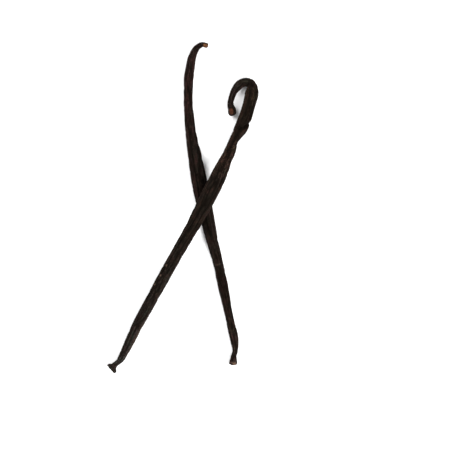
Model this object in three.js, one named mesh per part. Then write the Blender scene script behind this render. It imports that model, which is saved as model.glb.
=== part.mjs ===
// A small loose bundle of cured vanilla pods: one lies flat and the other lies across it.
//
// Millimetres. +Z is up, +Y runs along the pods from their blossom ends to their stem ends, and +X
// is to the right as seen from above. The origin is on the surface that the pods lie on, under the
// middle of their box.
//
// A pod is one piece: a slim capsule, flattened by its own weight, that ends in a flared blossom
// scar at the foot and narrows to a curled stem at the head. Drying leaves creases along its
// length. Each pod is turned as a straight rod of unit radius and then bent and moulded to its form.

import * as THREE from "three";
import { mergeVertices } from "three/addons/utils/BufferGeometryUtils.js";

// Facets. A ring has four facets to a crease: its crest, its valley and the two slopes between.
const CREASES = 7;
const FACETS_ROUND = 4 * CREASES;
const RING_STEP_SHARE = 0.45; // the step between rings, as a share of the pod's width there
const SHORTEST_RING_STEP = 0.7;
const LONGEST_RING_STEP = 3.2;
const MOST_TURN_PER_STEP = THREE.MathUtils.degToRad(17);

// How a pod lies. Its underside is pressed flat where it touches the surface.
const SUNK = 0.22; // how deep the round underside would reach below the surface
const CROSSING_GAP = 0.3; // between the two pods where they cross
const CROSSING = new THREE.Vector2(0, 0); // where they cross, in the plan below
const CROSSING_SEARCH_STEP = 0.25;

// Creases. They bunch together and twist slowly round the pod, by these angles in radians, over
// these lengths for a radian of the wave.
const CREASE_DEPTH = 0.12; // as a share of the pod's radius
const CREASE_DEPTH_CHANGE = 0.45; // how much that depth comes and goes along the pod
const CREASE_DEPTH_WAVE = 17;
const BUNCHING = 0.16;
const BUNCHING_WAVES = [23, 31];
const TWIST = 0.45;
const TWIST_WAVE = 55;
const CREASE_FADE_LENGTH = 6; // creases die out towards both ends
const UNDERSIDE_FADE = [-1, -0.3]; // and towards the underside, between these heights on the radius

// The blossom scar is a shallow cup, as [share of the radius, depth from the rim] from its middle
// outwards. The stem end is a dome with this many steps.
const CUPPED_END = [
  [0, 0.5],
  [0.5, 0.4],
  [0.84, 0],
];
const CUP_RIM = 0.45; // where the cup's rim turns into the side
const DOME_STEPS = 4;
const FOOT_SLANT_FADE = 4; // the length over which a slanting foot comes square

// plan: the middle line seen from above, from the blossom end to the stem end, as [x, y].
// sizes: along that line, as [distance, width to the left, width to the right, thickness, height
// of the underside above the surface].
// dome: the length of the rounded stem end. slant: how far the foot's end runs on for each
// millimetre to the right.
// hump: how far the pod needs, each way along it, to come down from lying on the other pod.
const PODS = [
  {
    name: "pod_under",
    colour: 0x2b1f1b,
    phase: 0.4,
    dome: 0.9,
    slant: -0.18,
    hump: [0, 0],
    plan: [
      [14.9, -79.2],
      [15.05, -76.5],
      [15.75, -73.2],
      [15.65, -69.0],
      [13.55, -58.7],
      [7.35, -29.5],
      [2.95, -12.0],
      [-0.75, 5.7],
      [-4.15, 23.4],
      [-6.95, 41.1],
      [-7.75, 56.0],
      [-6.95, 68.0],
      [-5.25, 75.3],
      [-3.25, 78.8],
      [-0.55, 80.3],
      [2.35, 79.5],
    ],
    sizes: [
      [0, 1.9, 1.9, 3.0, 0],
      [1.4, 1.7, 1.7, 2.7, 0.1],
      [5, 1.4, 1.4, 2.4, 0.3],
      [13, 2.1, 2.15, 3.3, 0],
      [22, 1.95, 1.95, 3.1, 0],
      [39, 2.5, 2.5, 3.8, 0],
      [52, 2.5, 2.5, 3.8, 0],
      [66, 3.1, 3.1, 4.5, 0],
      [80, 3.8, 3.8, 5.3, 0],
      [94, 3.95, 3.95, 5.4, 0],
      [102, 3.6, 3.6, 5.0, 0],
      [118, 2.65, 2.65, 4.0, 0],
      [135, 2.2, 2.2, 3.5, 0],
      [149, 2.3, 2.35, 3.4, 0],
      [158, 1.85, 1.85, 2.9, 0.5],
      [163.5, 1.35, 1.3, 2.2, 1.2],
      [168, 1.15, 0.95, 2.0, 1.9],
    ],
  },
  {
    name: "pod_over",
    colour: 0x241d18,
    phase: 2.3,
    dome: 2.1,
    slant: -0.2,
    hump: [68, 56],
    plan: [
      [-46.4, -82.2],
      [-44.5, -80.2],
      [-42.0, -77.9],
      [-39.0, -72.6],
      [-35.2, -64.4],
      [-26.8, -48.55],
      [-15.85, -28.95],
      [-4.65, -9.4],
      [9.0, 17.3],
      [18.95, 38.9],
      [22.9, 50.4],
      [24.2, 56.8],
      [23.25, 60.2],
      [21.1, 61.3],
      [18.8, 60.7],
      [16.2, 58.2],
      [14.0, 53.3],
      [13.5, 50.2],
      [14.0, 47.5],
      [13.9, 44.5],
    ],
    sizes: [
      [0, 2.5, 2.4, 3.4, 0],
      [1, 2.3, 2.05, 3.0, 0.2],
      [2.9, 1.4, 1.45, 2.4, 0.5],
      [7, 1.65, 1.65, 2.7, 0.3],
      [13, 2.1, 2.1, 3.2, 0],
      [24, 2.55, 2.55, 3.8, 0],
      [45, 2.9, 2.9, 4.2, 0],
      [78, 3.2, 3.2, 4.6, 0],
      [92, 3.65, 3.65, 5.0, 0],
      [106, 3.85, 3.95, 5.2, 0],
      [114, 3.8, 3.6, 5.0, 0],
      [120, 3.4, 2.65, 4.6, 0],
      [125, 3.1, 2.55, 4.3, 0],
      [130, 3.2, 1.4, 3.9, 0],
      [137, 3.25, 3.2, 4.6, 0],
      [150, 3.1, 3.1, 4.7, 0],
      [157, 3.2, 3.3, 4.6, 0],
      [162, 2.55, 2.7, 3.9, 0.3],
      [168, 1.9, 1.95, 2.9, 0.9],
      [177, 1.5, 1.55, 2.6, 1.1],
      [180.5, 2.2, 1.7, 3.3, 0.7],
      [184, 2.0, 1.7, 3.1, 0.8],
    ],
  },
];

// Reads the columns of a table at a place along its first column, on a smooth curve through them.
function along(table, place) {
  const last = table.length - 2;
  let row = 0;
  while (row < last && table[row + 1][0] < place) row += 1;
  const points = [row - 1, row, row + 1, row + 2].map(
    (i) => table[THREE.MathUtils.clamp(i, 0, last + 1)],
  );
  const [, from, to] = points;
  const span = to[0] - from[0];
  const t = THREE.MathUtils.clamp((place - from[0]) / span, 0, 1);
  return from.slice(1).map((_, column) => {
    const [a, b, c, d] = points.map((p) => p[column + 1]);
    const leaving = ((c - a) / (to[0] - points[0][0])) * span;
    const arriving = ((d - b) / (points[3][0] - from[0])) * span;
    return (
      b +
      t * leaving +
      t * t * (3 * (c - b) - 2 * leaving - arriving) +
      t * t * t * (2 * (b - c) + leaving + arriving)
    );
  });
}

function middleLine(pod) {
  const line = new THREE.CatmullRomCurve3(
    pod.plan.map(([x, y]) => new THREE.Vector3(x, y, 0)),
    false,
    "chordal",
  );
  line.arcLengthDivisions = 2000;
  return line;
}

// The rings of the rod from one end's middle to the other's, as unit radius against distance.
function ringsOf(pod, line, length) {
  const foot = CUPPED_END.map(([radius, depth]) => new THREE.Vector2(radius, depth));
  const sides = [];
  let place = CUP_RIM;
  while (place < length - pod.dome) {
    sides.push(new THREE.Vector2(1, place));
    const [left, right] = along(pod.sizes, place);
    const wished = RING_STEP_SHARE * (left + right);
    let step = THREE.MathUtils.clamp(wished, SHORTEST_RING_STEP, LONGEST_RING_STEP);
    const heading = line.getTangentAt(place / length);
    const turn = heading.angleTo(line.getTangentAt(Math.min((place + step) / length, 1)));
    if (turn > MOST_TURN_PER_STEP) step *= MOST_TURN_PER_STEP / turn;
    place += step;
  }
  const head = [];
  for (let i = 0; i <= DOME_STEPS; i += 1) {
    const lean = (Math.PI / 2) * (i / DOME_STEPS);
    const distance = length - pod.dome * (1 - Math.sin(lean));
    head.push(new THREE.Vector2(i === DOME_STEPS ? 0 : Math.cos(lean), distance));
  }
  return [...foot, ...sides, ...head];
}

// How far round the pod a facet line runs, and how much of the radius is left there.
function crease(pod, turn, place, length) {
  const angle =
    turn +
    BUNCHING * Math.sin(2 * turn + place / BUNCHING_WAVES[0] + pod.phase) +
    (BUNCHING / 2) * Math.sin(3 * turn - place / BUNCHING_WAVES[1] + 2 * pod.phase) +
    TWIST * Math.sin(place / TWIST_WAVE + pod.phase);
  const fade = Math.min(place, length - place) / CREASE_FADE_LENGTH;
  const depth =
    CREASE_DEPTH *
    THREE.MathUtils.clamp(fade, 0, 1) *
    THREE.MathUtils.smoothstep(Math.sin(angle), ...UNDERSIDE_FADE) *
    (1 + CREASE_DEPTH_CHANGE * Math.sin(turn + place / CREASE_DEPTH_WAVE + 3 * pod.phase));
  const valley = 1 - Math.abs(Math.cos((CREASES * turn) / 2));
  return [angle, 1 - depth * valley];
}

// The extra height of the pod that lies across the other.
function humpHeight(pod, place, crossingAt, height) {
  const reach = place < crossingAt ? pod.hump[0] : pod.hump[1];
  if (reach === 0) return 0;
  const share = Math.min(Math.abs(place - crossingAt) / reach, 1);
  return (height * (1 + Math.cos(Math.PI * share))) / 2;
}

function distanceAtCrossing(line, length) {
  const point = new THREE.Vector3();
  let best = 0;
  let nearest = Infinity;
  for (let place = 0; place <= length; place += CROSSING_SEARCH_STEP) {
    line.getPointAt(place / length, point);
    const away = Math.hypot(point.x - CROSSING.x, point.y - CROSSING.y);
    if (away < nearest) [nearest, best] = [away, place];
  }
  return best;
}

// The height of a lying pod's back where the two cross.
function backHeight(pod) {
  const line = middleLine(pod);
  const place = distanceAtCrossing(line, line.getLength());
  const [, , thickness, lift] = along(pod.sizes, place);
  return lift - SUNK + thickness;
}

function makePod(pod, raised) {
  const line = middleLine(pod);
  const length = line.getLength();
  const crossingAt = distanceAtCrossing(line, length);
  const rings = ringsOf(pod, line, length);
  const up = new THREE.Vector3(0, 0, 1);
  const sections = rings.map(({ y: place }) => {
    const ahead = line.getTangentAt(place / length);
    return {
      middle: line.getPointAt(place / length),
      ahead,
      sideways: new THREE.Vector3().crossVectors(ahead, up),
      sizes: along(pod.sizes, place),
      hump: humpHeight(pod, place, crossingAt, raised),
      slant: pod.slant * (1 - THREE.MathUtils.smoothstep(place, 0, FOOT_SLANT_FADE)),
    };
  });

  const rod = new THREE.LatheGeometry(rings, FACETS_ROUND);
  const position = rod.getAttribute("position");
  const point = new THREE.Vector3();
  for (let i = 0; i < position.count; i += 1) {
    point.fromBufferAttribute(position, i);
    const ring = rings[i % rings.length];
    const section = sections[i % rings.length];
    const turn = Math.atan2(point.z, point.x);
    const [left, right, thickness, lift] = section.sizes;
    const [angle, share] = crease(pod, turn, ring.y, length);
    const across = Math.cos(angle) * ring.x * share * (Math.cos(angle) > 0 ? right : left);
    const rise = (Math.sin(angle) * ring.x * share * thickness) / 2;

    point.copy(section.middle);
    point.addScaledVector(section.sideways, across);
    point.addScaledVector(section.ahead, section.slant * across);
    point.z = Math.max(lift + section.hump - SUNK + thickness / 2 + rise, 0);
    position.setXYZ(i, point.x, point.y, point.z);
  }

  rod.deleteAttribute("normal");
  rod.deleteAttribute("uv");
  const geometry = mergeVertices(rod);
  geometry.computeVertexNormals();
  const skin = new THREE.MeshStandardMaterial({
    color: pod.colour,
    roughness: 0.5,
    metalness: 0,
  });
  const mesh = new THREE.Mesh(geometry, skin);
  mesh.name = pod.name;
  return mesh;
}

const [under, over] = PODS;
const bundle = new THREE.Group();
bundle.name = "vanilla_pods";
bundle.add(makePod(under, 0), makePod(over, backHeight(under) + CROSSING_GAP + SUNK));

// The origin goes under the middle of the box round both pods.
const box = new THREE.Box3().setFromObject(bundle);
const centre = box.getCenter(new THREE.Vector3());
for (const pod of bundle.children) pod.position.set(-centre.x, -centre.y, -box.min.z);

export default bundle;
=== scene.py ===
from bisect import bisect
from math import atan2, cos, degrees, exp, hypot, pi, radians, sin, sqrt, tau

import bmesh
import bpy
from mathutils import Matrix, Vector, noise


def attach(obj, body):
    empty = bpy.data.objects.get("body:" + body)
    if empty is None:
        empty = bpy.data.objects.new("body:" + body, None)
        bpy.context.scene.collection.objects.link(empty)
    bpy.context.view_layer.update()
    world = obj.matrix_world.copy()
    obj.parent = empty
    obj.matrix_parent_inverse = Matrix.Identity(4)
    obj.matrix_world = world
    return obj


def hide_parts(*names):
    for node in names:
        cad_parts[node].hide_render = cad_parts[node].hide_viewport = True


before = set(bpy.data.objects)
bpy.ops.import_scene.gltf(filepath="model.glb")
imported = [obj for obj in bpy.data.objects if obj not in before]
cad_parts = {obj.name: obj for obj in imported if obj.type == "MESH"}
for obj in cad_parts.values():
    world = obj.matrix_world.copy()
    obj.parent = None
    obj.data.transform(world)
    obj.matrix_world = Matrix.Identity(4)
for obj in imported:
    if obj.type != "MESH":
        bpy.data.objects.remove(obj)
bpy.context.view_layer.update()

# The lower pod. A cured vanilla pod is one slim capsule that has been blanched, sweated and dried
# until its skin is dark, oily and creased along its length. It lies on the surface from its
# blossom scar to the hook of its stem, pressed a little flat underneath.

MM = 0.001
CROSSING = Vector((10.12, 1.17, 0)) * MM  # where the two pods cross, in the part's frame


def smooth(table, place):
    """A table's columns at a place along its first one, on a smooth curve through its rows."""
    at = min(max(bisect([row[0] for row in table], place) - 1, 0), len(table) - 2)
    start, end = table[at], table[at + 1]
    before = table[at - 1] if at else [2 * a - b for a, b in zip(start, end)]
    after = table[at + 2] if at + 2 < len(table) else [2 * b - a for a, b in zip(start, end)]

    def slope(a, b, c, column):
        first = (b[column] - a[column]) / (b[0] - a[0])
        second = (c[column] - b[column]) / (c[0] - b[0])
        return first + second - (c[column] - a[column]) / (c[0] - a[0])

    span = end[0] - start[0]
    t = min(max((place - start[0]) / span, 0), 1)
    read = []
    for column in range(1, len(start)):
        rise = end[column] - start[column]
        leaving = span * slope(before, start, end, column)
        arriving = span * slope(start, end, after, column)
        read.append(
            start[column]
            + t * leaving
            + t * t * (3 * rise - 2 * leaving - arriving)
            + t * t * t * (leaving + arriving - 2 * rise)
        )
    return read


def ease(low, high, value):
    """How far a value is from low to high, from 0 to 1, starting and ending softly."""
    t = min(max((value - low) / (high - low), 0), 1)
    return t * t * (3 - 2 * t)


class MiddleLine:
    """The pod's middle line in plan, read by the distance along it."""

    STEPS = 4000

    def __init__(self, plan):
        chords = [0]
        for a, b in zip(plan, plan[1:]):
            chords.append(chords[-1] + hypot(b[0] - a[0], b[1] - a[1]))
        table = [[chord, x, y] for chord, (x, y) in zip(chords, plan)]
        points = [smooth(table, chords[-1] * i / self.STEPS) for i in range(self.STEPS + 1)]
        self.rows = [[0, *points[0]]]
        for a, b in zip(points, points[1:]):
            self.rows.append([self.rows[-1][0] + hypot(b[0] - a[0], b[1] - a[1]), *b])
        self.distances = [row[0] for row in self.rows]
        self.length = self.distances[-1]

    def at(self, place):
        """The point and the heading there."""
        after = min(max(bisect(self.distances, place), 1), len(self.rows) - 1)
        (d0, x0, y0), (d1, x1, y1) = self.rows[after - 1], self.rows[after]
        t = min(max((place - d0) / (d1 - d0), 0), 1)
        ahead = Vector((x1 - x0, y1 - y0, 0)).normalized()
        return Vector((x0 + t * (x1 - x0), y0 + t * (y1 - y0), 0)), ahead

    def nearest(self, x, y):
        """The distance along the line at which it comes nearest to a point."""
        return min(self.rows, key=lambda row: hypot(row[1] - x, row[2] - y))[0]


SIDES = 112
RING_STEP = 0.225 * MM
CUP_SHARE = 0.78  # the width of the blossom end's cup, as a share of the rod's
CUP_DEPTH = 0.6 * MM
RIM_DEPTH = 0.6 * MM  # how far along the rod the round rim of the cup reaches its full width
CUP_RINGS, RIM_RINGS, DOME_RINGS = 12, 8, 18
SAME_POINT = 1e-7  # points nearer than this are merged


def rod(length, dome):
    """A straight rod of unit radius along Y: a cupped end, a long side and a domed end."""
    side = length - dome - RIM_DEPTH
    side_rings = round(side / RING_STEP)
    profile = []
    for i in range(CUP_RINGS):
        share = CUP_SHARE * i / CUP_RINGS
        profile.append((share, CUP_DEPTH * (1 - (i / CUP_RINGS) ** 2)))
    for i in range(RIM_RINGS):
        lean = (pi / 2) * i / RIM_RINGS
        profile.append((CUP_SHARE + (1 - CUP_SHARE) * sin(lean), RIM_DEPTH * (1 - cos(lean))))
    for i in range(side_rings):
        profile.append((1, RIM_DEPTH + side * i / side_rings))
    for i in range(DOME_RINGS):
        lean = (pi / 2) * i / DOME_RINGS
        profile.append((cos(lean), length - dome * (1 - sin(lean))))
    profile.append((0, length))

    shape = bmesh.new()
    ring = shape.verts.layers.int.new("ring")
    tip = shape.verts.new((*profile[0], 0))
    for number, (share, place) in enumerate(profile[1:], 1):
        grown = bmesh.ops.extrude_vert_indiv(shape, verts=[tip])
        tip = grown["verts"][0]
        tip.co = (share, place, 0)
        tip[ring] = number
    bmesh.ops.spin(
        shape,
        geom=shape.verts[:] + shape.edges[:],
        cent=(0, 0, 0),
        axis=(0, 1, 0),
        angle=tau,
        steps=SIDES,
        use_merge=True,
    )
    bmesh.ops.remove_doubles(shape, verts=shape.verts, dist=SAME_POINT)
    bmesh.ops.recalc_face_normals(shape, faces=shape.faces)
    return shape, ring, profile


RIDGES = 7
CREASE_DEPTH = 0.125  # of a middling crease, as a share of the radius


def creases(turn, place, phase):
    """Where a line of the rod runs to round the pod, how deep it lies, and its painted valley
    shade.
    """
    angle = (
        turn
        + 0.16 * sin(2 * turn + place / (23 * MM) + phase)
        + 0.08 * sin(3 * turn - place / (31 * MM) + 2 * phase)
        + 0.45 * sin(place / (55 * MM) + phase)
    )
    strength = 1 + 0.5 * sin(turn + place / (17 * MM) + 3 * phase)
    valley = 1 - abs(cos(RIDGES / 2 * turn)) ** 0.6
    return angle, CREASE_DEPTH * strength * valley, strength * valley ** 2


def wrinkles(straight, bend, phase):
    """The depth of the drying wrinkles at a point of the straightened pod, and their painted shade.
    """
    x, y, z = straight / MM
    shift = Vector((0, 0, 40 * phase))

    def lumps(width, length, seed, right=0, up=0, onward=0):
        """Noise with lumps of that width and length in millimetres, pushed aside a little."""
        place = Vector((x / width + right, y / width + up, z / length + onward))
        return noise.noise(place + seed)

    # Deep wrinkles run far along the pod, thin ones lie between them, and cross ones pucker its
    # bends. All wander a little, and their depths are millimetres.
    wander = 0.9 * lumps(3, 11, shift)
    long = lumps(0.95, 14, shift, right=wander, up=-wander)
    fine = lumps(0.45, 6, -shift, right=wander)
    across = lumps(3.1, 0.75, shift, onward=wander)
    swelling = lumps(4, 5, -shift)
    deep = max(1 - abs(long) / 0.24, 0) ** 1.4
    thin = max(1 - abs(fine) / 0.3, 0)
    cross = (0.2 + 0.8 * bend) * max(1 - abs(across) / 0.3, 0)
    depth = 0.32 * deep + 0.12 * thin + 0.15 * cross + 0.14 * (0.5 + 0.5 * swelling)
    return depth * MM, 0.85 * deep + 0.35 * thin + 0.35 * cross


FURROW_SPREAD = 3  # how many half-widths from its middle a furrow is felt


def furrow_at(furrow, place, turn, radius):
    """How deep a single furrow of the skin is at a point."""
    (place_a, turn_a), (place_b, turn_b), half_width, depth = furrow
    along = Vector(((place_b - place_a) * MM, radians(turn_b - turn_a) * radius))
    offset = Vector((place - place_a * MM, (turn - radians(turn_a)) * radius))
    share = min(max(offset.dot(along) / along.length_squared, 0), 1)
    away = (offset - share * along).length / (half_width * MM)
    return depth * MM * exp(-away * away) if away < FURROW_SPREAD else 0


def swing(turn, start=0):
    """The angle round the pod from one turn to another, the shorter way."""
    return (turn - start + pi) % tau - pi


SCAR_STEEPNESS = 2.2  # above 1, a scar reaches its full strength before its middle


def scar_at(scar, place, turn, radius):
    """How far a point is inside a scar: its strength in the middle, and 0 from its edge on."""
    scar_place, scar_turn, half_length, half_width, strength = scar
    along = (place - scar_place * MM) / (half_length * MM)
    aside = swing(turn, radians(scar_turn)) * radius / (half_width * MM)
    return strength * min(SCAR_STEEPNESS * max(1 - hypot(along, aside), 0), 1)


def lobes_at(lobes, turn):
    """How far the lobes of a torn rim reach out and onward beyond it, at a turn round the pod."""
    out, onward = 0, 0
    for lobe_turn, half_turn, lobe_out, lobe_onward in lobes:
        away = degrees(swing(turn, radians(lobe_turn))) / half_turn
        share = exp(-away * away)
        out += lobe_out * MM * share
        onward += lobe_onward * MM * share
    return out, onward


BEND_REACH = 2 * MM  # how far to each side of a ring its bend is measured
FULL_BEND = radians(60)  # a bend in which the skin has puckered as much as it can
FOOT_FADE, STEM_FADE = 4 * MM, 3 * MM  # where the creases run out at the two ends


def cross_sections(line, profile, sizes, hump):
    """What the pod is like at each ring of its rod, from the blossom end to the stem end."""
    crossing = line.nearest(0, 0)
    height, foot_reach, stem_reach = hump
    sections = []
    for _, place in profile:
        middle, ahead = line.at(place)
        _, before = line.at(place - BEND_REACH)
        _, after = line.at(place + BEND_REACH)
        reach = foot_reach if place < crossing else stem_reach
        away = min(abs(place - crossing) / (reach * MM), 1)
        sections.append((
            middle,
            ahead,
            Vector((ahead.y, -ahead.x, 0)),
            smooth(sizes, place),
            height * MM * (1 + cos(pi * away)) / 2,
            min(before.angle(after) / FULL_BEND, 1),
            min(ease(0, FOOT_FADE, place), ease(0, STEM_FADE, line.length - place)),
        ))
    return sections


def finished(name, shape):
    """The object that a modelled shape ends up as, at the origin."""
    mesh = bpy.data.meshes.new(name)
    shape.to_mesh(mesh)
    shape.free()
    piece = bpy.data.objects.new(name, mesh)
    bpy.context.collection.objects.link(piece)
    return piece


SUNK = 0.22 * MM  # how deep the round underside would reach below the surface
SETTLING = 0.12 * MM  # how softly the underside turns flat there
PLUMP = 0.22 * MM  # how far the ridges between wrinkles stand out of the pod's mean form
PIT = 0.4 * MM  # the size of the pits in a scar
DARK_FURROW = 0.4 * MM  # how deep a furrow is that gets the full painted shade
CUP_END = 1 * MM  # how far along the pod its blossom scar reaches
LOBE_END = 2.2 * MM  # how far along the pod a lobe of its torn rim swells it
SLANT_END = 4 * MM  # how far along the pod the slant of its blossom end is felt
RAGGED_END = 1.5 * MM  # how far along the pod its rim is ragged


def pod(
    name, plan, sizes, dome, slant, lean_back, lobes, phase, furrows, scars, flecks_and_highlights, cup_scar,
    hump=(0, 1, 1),
):
    """A rod moulded to a pod's sizes, wrinkled, scarred and laid along its plan."""
    line = MiddleLine([(x * MM, y * MM) for x, y in plan])
    sizes = [[value * MM for value in row] for row in sizes]
    shape, ring, profile = rod(line.length, dome * MM)
    sections = cross_sections(line, profile, sizes, hump)
    straight_layer = shape.verts.layers.float_vector.new("straight")
    shade_layer = shape.verts.layers.float.new("shade")
    scar_layer = shape.verts.layers.float.new("scar")
    fleck_and_highlight_layer = shape.verts.layers.float.new("fleck")
    scars = [
        (place if place >= 0 else line.length / MM + place, *rest) for place, *rest in scars
    ]

    for point in shape.verts:
        share, place = profile[point[ring]]
        middle, ahead, aside, (left, right, thick, lift), raised, bend, fade = sections[point[ring]]
        turn = atan2(point.co.z, point.co.x)
        angle, crease, valley = creases(turn, place, phase)
        radius = (left + right + thick) / 4
        straight = Vector((cos(angle) * radius * share, sin(angle) * radius * share, place))

        # The skin's relief, as a share of the radius inward. It is weaker on the underside.
        upper = ease(-1, -0.3, sin(angle))
        wrinkle, wrinkle_shade = wrinkles(straight, bend, phase)
        crease *= fade * upper
        wrinkle *= (0.25 + 0.75 * fade) * (0.3 + 0.7 * upper)
        facing = swing(angle)
        furrow = sum(furrow_at(one, place, facing, radius) for one in furrows)
        relief = crease + (wrinkle + furrow) / radius
        # Painted shade: the skin is painted darker in its creases, wrinkles and furrows.
        shade = 0.9 * valley * fade + wrinkle_shade * (0.4 + 0.6 * fade) + furrow / DARK_FURROW

        # A scar is smoother, a little sunk with a raised edge, and pitted.
        scar = max(scar_at(one, place, facing, radius) for one in scars)
        pits = noise.noise(straight / PIT)
        relief = relief * (1 - 0.6 * scar) - PLUMP / radius
        relief += (0.1 * scar - 0.3 * scar * (1 - scar) + 0.12 * scar * pits) * MM / radius

        # The blossom end is a cup with a scar inside it and a torn rim.
        if place < CUP_END:
            scar = cup_scar * (1 - ease(0.6, 0.95, share)) * ease(-0.8, 0.1, share * cos(turn))
        lobe_out, lobe_onward = lobes_at(lobes, turn)
        relief -= lobe_out / radius * (1 - ease(0, LOBE_END, place))

        # The section lies square to the middle line, flat where it meets the surface.
        reach = share * (1 - relief)
        across = cos(angle) * reach * (right if cos(angle) > 0 else left)
        rise = sin(angle) * reach * thick / 2
        z = lift + raised - SUNK + thick / 2 + rise
        z = (z + sqrt(z * z + SETTLING * SETTLING)) / 2

        # The face of the blossom end slants, and its rim is ragged.
        rim = Vector((2.2 * cos(turn), 2.2 * sin(turn), 9 * phase))
        ragged = (0.18 * noise.noise(rim) - 0.2) * MM - lobe_onward
        onward = (slant * across + lean_back * rise) * (1 - ease(0, SLANT_END, place))
        onward += (ragged * share + 0.15 * pits * MM) * (1 - ease(0, RAGGED_END, place))
        flat = CROSSING + middle + across * aside + onward * ahead
        point.co = (flat.x, flat.y, z)
        point[straight_layer] = straight / MM
        point[shade_layer] = min(shade, 1)
        point[scar_layer] = scar
        # Pale flecks of the skin, and a painted highlight where one is listed among them.
        point[fleck_and_highlight_layer] = max(scar_at(one, place, facing, radius) for one in flecks_and_highlights)

    piece = finished(name, shape)
    piece.data.polygons.foreach_set("use_smooth", [True] * len(piece.data.polygons))
    return piece


class Socket:
    """A socket of a material's nodes. Sums on it add Math nodes to the same material."""

    def __init__(self, tree, socket=None):
        self.tree = tree
        self.socket = socket

    def node(self, kind, settings, inputs, output=0):
        """A node of any kind, with its settings set before its sockets' values and links."""
        made = self.tree.nodes.new(kind)
        for name, value in settings.items():
            if name == "stops":
                while len(made.color_ramp.elements) < len(value):
                    made.color_ramp.elements.new(1)
                for element, (position, tint) in zip(made.color_ramp.elements, value):
                    element.position = position
                    element.color = tint
            else:
                setattr(made, name, value)
        for name, value in inputs.items():
            if isinstance(value, Socket):
                self.tree.links.new(value.socket, made.inputs[name])
            else:
                made.inputs[name].default_value = value
        return Socket(self.tree, made.outputs[output])

    def maths(self, operation, first, second):
        settings = {"operation": operation}
        return self.node("ShaderNodeMath", settings, {0: first, 1: second})

    def __add__(self, other):
        return self.maths("ADD", self, other)

    def __radd__(self, other):
        return self.maths("ADD", other, self)

    def __sub__(self, other):
        return self.maths("SUBTRACT", self, other)

    def __rsub__(self, other):
        return self.maths("SUBTRACT", other, self)

    def __mul__(self, other):
        return self.maths("MULTIPLY", self, other)

    def __rmul__(self, other):
        return self.maths("MULTIPLY", other, self)

    def __truediv__(self, other):
        return self.maths("DIVIDE", self, other)

    def __rtruediv__(self, other):
        return self.maths("DIVIDE", other, self)

    def scaled(self, x, y, z):
        settings = {"operation": "MULTIPLY"}
        return self.node("ShaderNodeVectorMath", settings, {0: self, 1: (x, y, z)})

    def directed(self):
        return self.node("ShaderNodeVectorMath", {"operation": "NORMALIZE"}, {0: self})

    def noise(self, scale, detail=3, roughness=0.55):
        inputs = {"Vector": self, "Scale": scale, "Detail": detail, "Roughness": roughness}
        return self.node("ShaderNodeTexNoise", {}, inputs)

    def between(self, low, high):
        settings = {"interpolation_type": "SMOOTHSTEP"}
        inputs = {"Value": self, "From Min": low, "From Max": high}
        return self.node("ShaderNodeMapRange", settings, inputs)

    def mix(self, colour_a, colour_b):
        inputs = {0: self, 6: colour_a, 7: colour_b}
        return self.node("ShaderNodeMix", {"data_type": "RGBA"}, inputs, output=2)


GLARE = 1.35  # how strong the light is, where 1 would just turn the white sheet white


def colour(red, green, blue):
    """The share of the studio's light that a colour read from the photo gives back."""
    values = [value / 255 for value in (red, green, blue)]
    light = [v / 12.92 if v <= 0.04045 else ((v + 0.055) / 1.055) ** 2.4 for v in values]
    return (*(v / GLARE for v in light), 1)


SKIN_DARKEST = colour(5, 3, 2)
SKIN_BLOOM = colour(38, 36, 34)
# the colour of the painted shade in creases, wrinkles and furrows
CREASE_SHADE = colour(4, 3, 2)
PALE_SPECK = colour(66, 52, 43)
# the colour of a pale fleck of the skin, and of a painted highlight
PALE_FLECK_AND_HIGHLIGHT = colour(92, 76, 66)
FIBRE_GAP = colour(30, 17, 11)
OILY_TINT = (1, 0.76, 0.58, 1)


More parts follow.
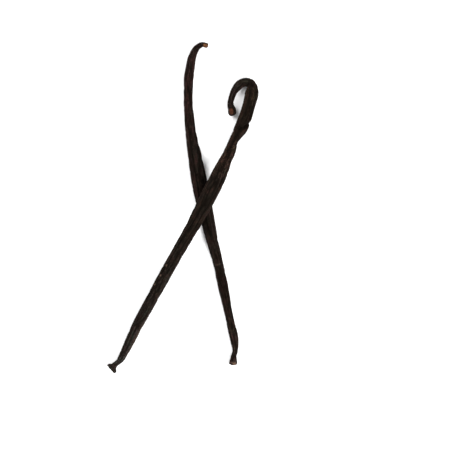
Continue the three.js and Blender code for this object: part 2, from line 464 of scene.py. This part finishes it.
def pod_skin(name, length, tints, rust, foot_scar, stem_scar):
    """Cured skin: dark and oily, streaked along the pod, redder in patches and towards its flanks.
    """
    material = bpy.data.materials.new(name)
    material.use_nodes = True
    tree = material.node_tree
    shader = tree.nodes["Principled BSDF"]
    start = Socket(tree)
    straight = start.node("ShaderNodeAttribute", {"attribute_name": "straight"}, {}, output=1)
    shade, scar, fleck = (
        start.node("ShaderNodeAttribute", {"attribute_name": mark}, {}, output=2)
        for mark in ("shade", "scar", "fleck")
    )
    across, upward, place = (
        start.node("ShaderNodeSeparateXYZ", {}, {0: straight}, output=axis) for axis in range(3)
    )
    off_middle = across * across + upward * upward
    side = across * across / off_middle

    def grain(along, scale, detail=3, roughness=0.55):
        """Noise of scale lumps to a millimetre across the pod, and along times that down it."""
        return straight.scaled(1, 1, along).noise(scale, detail, roughness)

    stops = [(at / length, colour(*tint)) for at, tint in tints]
    base = start.node("ShaderNodeValToRGB", {"stops": stops}, {0: place * (1 / length)})
    bands = grain(0.035, 1.1).between(0.36, 0.64)
    threads = grain(0.16, 2.3, 5, 0.65).between(0.36, 0.64)
    mottle = grain(0.7, 2.1, 5, 0.8).between(0.37, 0.63)
    warmth = grain(0.3, 0.6, 4, 0.6).between(0.42, 0.66)
    greyness = grain(0.25, 0.45).between(0.45, 0.7)
    hue = grain(0.4, 0.9, 3, 0.6).between(0.38, 0.62)
    specks = grain(0.6, 1.9, 1).between(0.73, 0.78)

    tone = (bands * 0.13 + threads * 0.25 + mottle * 0.62).between(0.33, 0.9)
    base = (greyness * 0.4).mix(base, SKIN_BLOOM)
    # Redder in random patches, and towards the flanks left and right of the pod's middle.
    red = (warmth * 0.4 + side.between(0.2, 0.9) * 0.45) * (0.3 + 0.7 * tone)
    skin = red.mix(tone.mix(SKIN_DARKEST, base), colour(*rust))
    skin = hue.mix(skin.scaled(0.88, 1.06, 0.92), skin.scaled(1.13, 0.93, 1.0))
    # Painted shade: the skin is painted near black in its creases, wrinkles and furrows.
    skin = (shade.between(0.05, 0.8) * 0.86).mix(skin, CREASE_SHADE)
    skin = (specks * 0.7).mix(skin, PALE_SPECK)
    # Pale flecks of the skin, and a long painted highlight along the upper pod's right-hand edge.
    skin = (fleck.between(0, 0.7) * (0.5 + 0.5 * mottle)).mix(skin, PALE_FLECK_AND_HIGHLIGHT)

    fibre = grain(0.5, 1.9, 5, 0.7).between(0.35, 0.7)
    spokes = straight.scaled(1, 1, 0).directed().noise(3.5, 3, 0.6).between(0.35, 0.65)
    stem = place.between(length * 0.4, length * 0.6)
    pit = off_middle.between(0, 0.9)
    face = stem.mix(colour(*foot_scar), colour(*stem_scar))
    fibres = stem * fibre + (1 - stem) * pit * (0.5 * fibre + 0.5 * spokes)
    face = (0.2 + 0.8 * fibres).mix(FIBRE_GAP, face)
    skin = (scar + 0.35 * fibre - 0.2).between(0.1, 0.6).mix(skin, face)

    rough = 0.34 + 0.16 * mottle + 0.3 * scar + 0.15 * shade
    height = grain(0.16, 3.2, 4, 0.6) + 0.4 * grain(0.8, 6, 3, 0.6)
    inputs = {"Strength": 0.8, "Distance": 0.18 * MM, "Height": height}
    bump = start.node("ShaderNodeBump", {}, inputs)
    tree.links.new(skin.socket, shader.inputs["Base Color"])
    tree.links.new(rough.socket, shader.inputs["Roughness"])
    tree.links.new(bump.socket, shader.inputs["Normal"])
    shader.inputs["Specular IOR Level"].default_value = 0.033
    shader.inputs["Specular Tint"].default_value = OILY_TINT
    return material


# The plan is millimetres from the crossing, from the blossom end to the stem end. A row of the
# sizes is the distance along it, the reach to the left and right, the thickness, and the height of
# the underside. Places on the skin are that distance, where one below 0 counts from the stem end,
# and the degrees round the pod from its right-hand edge over its back. A furrow is two places, its
# half-width and depth. A scar, a pale fleck or a painted highlight is a place, half its length and
# width, and its strength. A lobe of the torn rim is the degrees round the pod, its half-width in
# degrees, and how far it reaches out and onward. The slant and lean_back turn the blossom end's
# face aside and up, and cup_scar is how strong its scar is. The dome is how far the round of the
# stem end reaches, and the phase sets one pod's creases and wrinkles apart from the other's.
under = pod(
    "lower_pod",
    plan=[
        (14.9, -79.2), (15.05, -76.5), (15.75, -73.2), (15.65, -69.0), (13.55, -58.7),
        (7.35, -29.5), (2.95, -12.0), (-0.75, 5.7), (-4.15, 23.4), (-6.95, 41.1),
        (-7.75, 56.0), (-6.95, 68.0), (-5.25, 75.3), (-3.25, 78.8), (-0.55, 80.3),
        (2.35, 79.5),
    ],
    sizes=[
        (0, 1.9, 1.9, 3.0, 0), (1.4, 1.7, 1.7, 2.7, 0.1), (5, 1.4, 1.4, 2.4, 0.3),
        (13, 2.1, 2.15, 3.3, 0), (22, 1.95, 1.95, 3.1, 0), (39, 2.5, 2.5, 3.8, 0),
        (52, 2.5, 2.5, 3.8, 0), (66, 3.1, 3.1, 4.5, 0), (80, 3.8, 3.8, 5.3, 0),
        (94, 3.95, 3.95, 5.4, 0), (102, 3.6, 3.6, 5.0, 0), (118, 2.65, 2.65, 4.0, 0),
        (135, 2.2, 2.2, 3.5, 0), (149, 2.3, 2.35, 3.4, 0), (158, 1.85, 1.85, 2.9, 0.5),
        (163.5, 1.35, 1.3, 2.2, 1.2), (168, 1.15, 0.95, 2.0, 1.9),
    ],
    dome=0.9,
    slant=-0.1,
    lean_back=0.7,
    lobes=[(180, 42, 0.2, 0.5)],
    phase=0.4,
    furrows=[((0, 108), (4, 96), 0.3, 0.35), ((50, 20), (50.4, 150), 0.3, 0.12)],
    scars=[(-1.35, 64, 1.6, 1.45, 1)],
    flecks_and_highlights=[(50.4, 95, 0.6, 2.2, 0.26)],
    cup_scar=0.95,
)
under.data.materials.append(pod_skin(
    "brown_pod_skin",
    length=168,
    tints=[
        (0, (57, 49, 44)), (10, (66, 55, 49)), (22, (49, 38, 33)), (35, (38, 26, 22)),
        (49.5, (33, 25, 21)), (51.5, (42, 35, 31)), (70, (39, 34, 30)), (104, (38, 33, 30)),
        (120, (51, 39, 36)), (138, (66, 43, 41)), (152, (64, 46, 44)), (168, (64, 47, 45)),
    ],
    rust=(56, 32, 30),
    foot_scar=(124, 101, 86),
    stem_scar=(120, 81, 54),
))
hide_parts("pod_under")
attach(under, "root")

# The upper pod. It is as long and dark, and drier at its ends: it starts at a blossom scar that
# flares like a trumpet, lies over the lower pod, is pinched at a waist where it once folded, and
# ends in a stem that has curled right back, with the rusty scar where it was picked.

# The hump is how high the pod is raised at the crossing, and how far that reaches to the blossom
# end and to the stem end.
over = pod(
    "upper_pod",
    plan=[
        (-46.4, -82.2), (-44.5, -80.2), (-42.0, -77.9), (-39.0, -72.6), (-35.2, -64.4),
        (-26.8, -48.55), (-15.85, -28.95), (-4.65, -9.4), (9.0, 17.3), (18.95, 38.9),
        (22.9, 50.4), (24.2, 56.8), (23.25, 60.2), (21.1, 61.3), (18.8, 60.7),
        (16.2, 58.2), (14.0, 53.3), (13.5, 50.2), (14.0, 47.5), (13.9, 44.5),
    ],
    sizes=[
        (0, 2.65, 2.55, 3.4, 0), (1, 2.5, 2.65, 3.0, 0.2), (2, 1.8, 1.75, 2.5, 0.4),
        (3.1, 1.4, 1.35, 2.4, 0.5), (7, 1.65, 1.65, 2.7, 0.3), (13, 2.1, 2.1, 3.2, 0),
        (24, 2.55, 2.55, 3.8, 0), (45, 2.9, 2.9, 4.2, 0), (78, 3.2, 3.2, 4.6, 0),
        (92, 3.65, 3.65, 5.0, 0), (106, 3.85, 3.95, 5.2, 0), (114, 3.8, 3.6, 5.0, 0),
        (120, 3.4, 2.65, 4.6, 0), (125, 3.1, 2.55, 4.3, 0), (130, 3.2, 1.4, 3.9, 0),
        (137, 3.25, 3.2, 4.6, 0), (150, 3.1, 3.1, 4.7, 0), (157.5, 3.15, 3.26, 4.55, 0.02),
        (160, 2, 2.97, 4.2, 0.15), (163, 1.9, 2.57, 3.74, 0.39), (165.5, 2.12, 2.23, 3.28, 0.66),
        (168, 1.9, 1.95, 2.9, 0.9), (177, 1.5, 1.55, 2.6, 1.1), (180.5, 2.2, 1.7, 3.3, 0.7),
        (184, 2.0, 1.7, 3.1, 0.8),
    ],
    dome=2.1,
    slant=-0.06,
    lean_back=0.2,
    lobes=[(0, 45, 0.1, 0.3)],
    phase=2.3,
    furrows=[
        ((141.8, -10), (139.2, 60), 1.0, 0.55), ((141.2, 0), (137, 98), 0.6, 0.55),
        ((137, 98), (127, 116), 0.6, 0.5), ((120.5, 10), (119.5, 62), 0.3, 0.3),
        ((161.5, 182), (161.2, 100), 0.45, 0.45),
    ],
    scars=[(-2.3, 84, 1.8, 1.35, 1)],
    flecks_and_highlights=[
        (59.4, 125, 0.7, 0.55, 1), (53.6, 130, 0.7, 0.6, 1), (48.2, 138, 0.6, 0.5, 0.8),
        # the last one is a long painted highlight along the right-hand edge
        (21, 18, 15, 1.6, 0.25),
    ],
    cup_scar=0.5,
    hump=(5.6, 68, 56),
)
over.data.materials.append(pod_skin(
    "black_pod_skin",
    length=183,
    tints=[
        (0, (57, 56, 55)), (9, (86, 83, 80)), (18, (52, 51, 50)), (40, (41, 40, 37)),
        (66, (38, 35, 31)), (78, (24, 21, 18)), (97, (20, 17, 13)), (108, (39, 35, 31)),
        (121, (80, 61, 52)), (130, (76, 60, 50)), (137, (27, 22, 15)), (148, (22, 18, 12)),
        (155, (54, 44, 34)), (166, (49, 44, 42)), (183, (50, 43, 41)),
    ],
    rust=(54, 35, 28),
    foot_scar=(78, 58, 46),
    stem_scar=(88, 54, 39),
))
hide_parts("pod_over")
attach(over, "root")

# The surface is a plain white sheet in a white studio, lit from a wide softbox on each side.
# The camera looks straight down on it, as a product is photographed for a catalogue.

SHEET_REACH = 3
PAPER = (0.9, 0.9, 0.9, 1)
STUDIO_WALLS = (1, 1, 1, 1)

surface = bmesh.new()
bmesh.ops.create_grid(surface, x_segments=1, y_segments=1, size=SHEET_REACH)
sheet = finished("white_sheet", surface)
white = bpy.data.materials.new("white_paper")
white.use_nodes = True
white.node_tree.nodes["Principled BSDF"].inputs["Base Color"].default_value = PAPER
white.node_tree.nodes["Principled BSDF"].inputs["Roughness"].default_value = 0.9
sheet.data.materials.append(white)

world = bpy.data.worlds.new("studio")
world.use_nodes = True
world.node_tree.nodes["Background"].inputs["Color"].default_value = STUDIO_WALLS
world.node_tree.nodes["Background"].inputs["Strength"].default_value = 0.4 * GLARE
bpy.context.scene.world = world


def softbox(name, width, power, place):
    """A round softbox that is turned to the middle of the sheet."""
    light = bpy.data.lights.new(name, "AREA")
    light.shape = "DISK"
    light.size = width
    light.energy = power
    lamp = bpy.data.objects.new(name, light)
    lamp.location = place
    lamp.rotation_euler = (-Vector(place)).to_track_quat("-Z", "Y").to_euler()
    bpy.context.collection.objects.link(lamp)


softbox("right_softbox", width=0.9, power=24 * GLARE, place=(0.8, -0.6, 0.8))
softbox("left_softbox", width=1.0, power=17 * GLARE, place=(-0.8, 0.6, 0.85))

PHOTO_PIXELS = 452  # the photo's width and height
CROSSING_COLUMN, CROSSING_ROW = 203.5, 205  # the pixel of the photo at which the pods cross
PIXEL = 0.5 * MM  # how wide a pixel of the photo is on the pods
PODS_HEIGHT = 3 * MM  # the height above the sheet at which it is that wide

camera_data = bpy.data.cameras.new("camera")
camera_data.lens = 120
camera_data.sensor_width = 36
camera = bpy.data.objects.new("camera", camera_data)
distance = PHOTO_PIXELS * PIXEL * camera_data.lens / camera_data.sensor_width
camera.location = CROSSING + Vector((
    (PHOTO_PIXELS / 2 - CROSSING_COLUMN) * PIXEL,
    (CROSSING_ROW - PHOTO_PIXELS / 2) * PIXEL,
    PODS_HEIGHT + distance,
))
bpy.context.collection.objects.link(camera)
bpy.context.scene.camera = camera
bpy.context.scene.view_settings.view_transform = "Standard"
